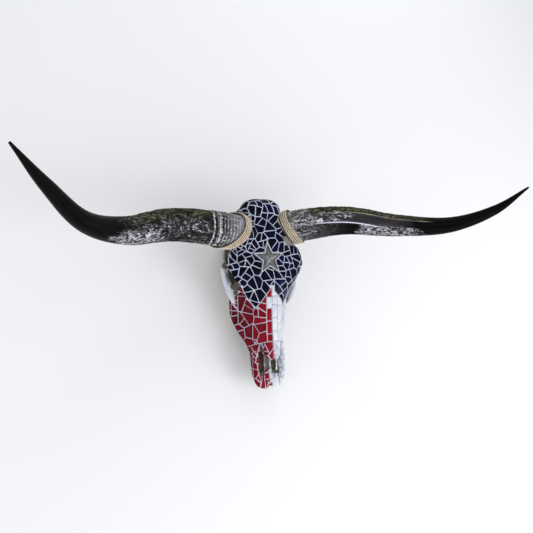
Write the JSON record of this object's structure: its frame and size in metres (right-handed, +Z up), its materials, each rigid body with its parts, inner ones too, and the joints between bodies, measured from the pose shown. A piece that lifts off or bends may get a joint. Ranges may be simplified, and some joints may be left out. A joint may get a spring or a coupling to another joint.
{
  "type": "longhorn skull",
  "caption": "Longhorn skull without lower jaw, lying face up, its face clad in navy, red and white glass mosaic round a cast star, with rope wound round the horn roots.",
  "frame": {"origin": "centre of the underside of the whole object's box, on the surface it lies on", "axes": "+X towards the animal's left horn tip, +Y from the nose to the poll, +Z up"},
  "size_m": [1.3204, 0.5314, 0.5753],
  "materials": {
    "bone": null,
    "navy_glass": null,
    "red_glass": null,
    "white_glass": null,
    "star_metal": "cast pewter, dull grey with dark recesses",
    "horn": null,
    "rope": "laid jute rope, tan"
  },
  "bodies": {
    "root": {"skull": "bone", "mosaic_navy": "navy_glass", "mosaic_red": "red_glass", "mosaic_white": "white_glass", "star": "star_metal", "horn_left": "horn", "horn_right": "horn", "rope_left": "rope", "rope_right": "rope"}
  },
  "joints": []
}
